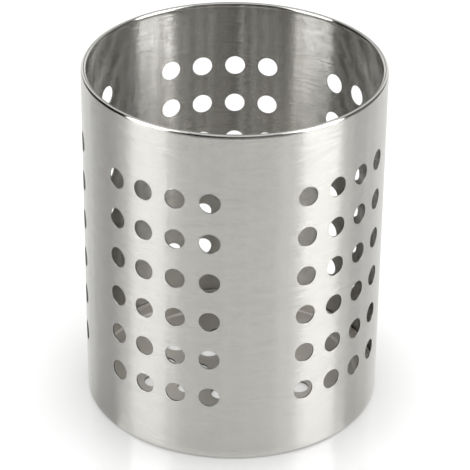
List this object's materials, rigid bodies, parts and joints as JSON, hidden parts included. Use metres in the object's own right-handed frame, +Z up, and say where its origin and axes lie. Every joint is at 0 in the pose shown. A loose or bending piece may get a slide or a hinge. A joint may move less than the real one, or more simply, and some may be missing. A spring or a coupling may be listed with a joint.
{
  "type": "cutlery drainer",
  "caption": "Free-standing round cup of thin brushed steel with groups of round drain holes in its wall, a curled rim and a perforated pan for a base.",
  "frame": {"origin": "centre of the underside, on the surface that the cup stands on", "axes": "+Z up along the cup's axis towards the open rim, -Y towards the picture's camera, +X to its right"},
  "size_m": [0.116, 0.116, 0.14],
  "materials": {
    "wall_steel": "brushed round the cup, bright along the rim and round the punched holes",
    "base_steel": "as rolled and lightly brushed in one direction"
  },
  "bodies": {
    "root": {"perforated_wall": "wall_steel", "base_pan": "base_steel"}
  },
  "joints": []
}
